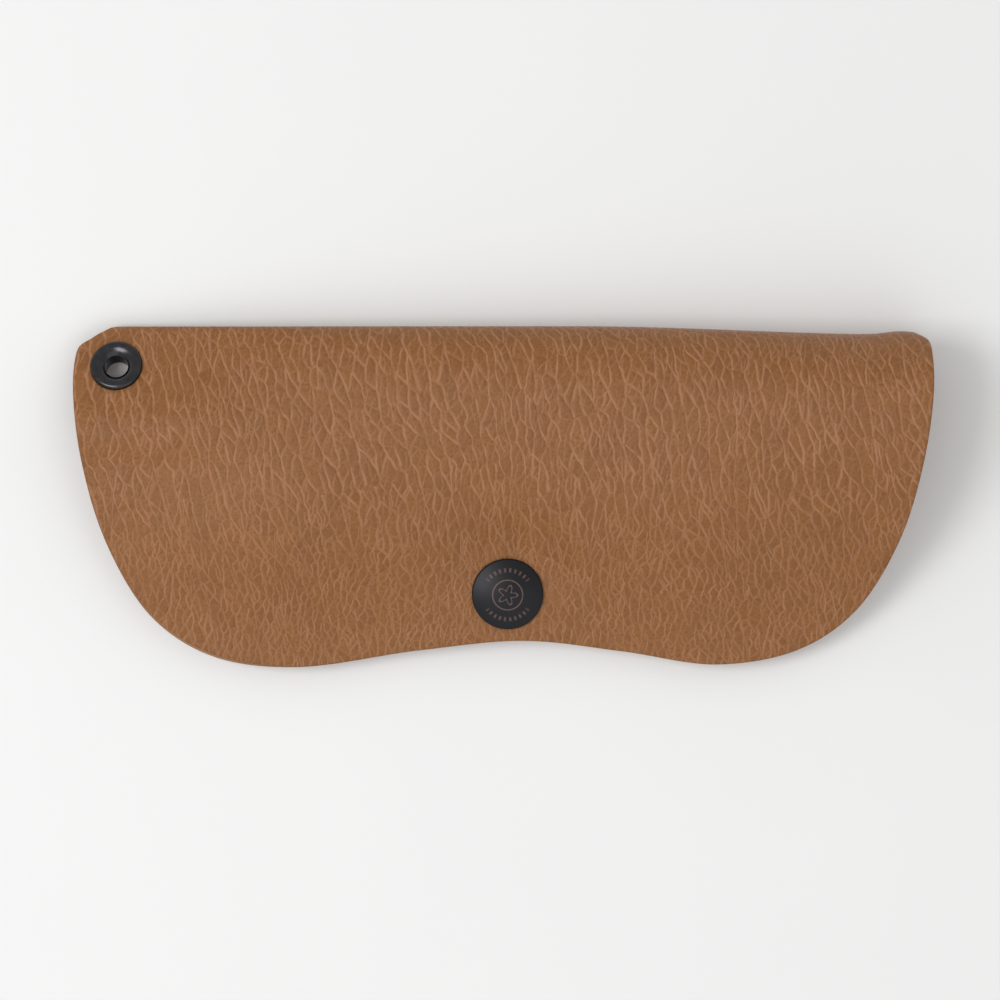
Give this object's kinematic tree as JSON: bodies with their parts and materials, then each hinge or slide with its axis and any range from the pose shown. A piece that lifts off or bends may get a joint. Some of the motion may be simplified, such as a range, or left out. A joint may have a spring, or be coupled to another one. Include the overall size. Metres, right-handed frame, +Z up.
{
  "type": "soft pouch glasses case",
  "caption": "Soft leather pouch for glasses: one folded sheet shaped like a pair of lenses, with a snap fastener at the front and a metal eyelet in one corner.",
  "frame": {"origin": "middle of the footprint, on the surface that the back panel lies on", "axes": "+X along the fold from the eyelet's corner to the open end, +Y from the front edge to the fold, +Z up, away from the surface"},
  "size_m": [0.18, 0.0715, 0.0255],
  "materials": {
    "tan_leather": "pebbled, semi-matt",
    "dark_eyelet_metal": "polished dark nickel",
    "black_snap": "satin black",
    "snap_metal": "dark plated",
    "spring_wire": "drawn wire"
  },
  "bodies": {
    "back": {"back_panel": "tan_leather", "spine_fold": "tan_leather", "eyelet_barrel": "dark_eyelet_metal", "eyelet_washer": "dark_eyelet_metal", "snap_stud": "snap_metal", "stud_post": "snap_metal"},
    "flap": {"front_panel": "tan_leather", "snap_cap": "black_snap", "snap_socket": "snap_metal", "socket_spring": "spring_wire"}
  },
  "joints": [
    {"name": "flap_bend", "type": "hinge", "parent": "back", "child": "flap", "pos_m": [-0.00006, 0.02171, 0.01849], "axis": [-0.9944, -0.0848, -0.0632], "range_deg": [0, 95]}
  ]
}
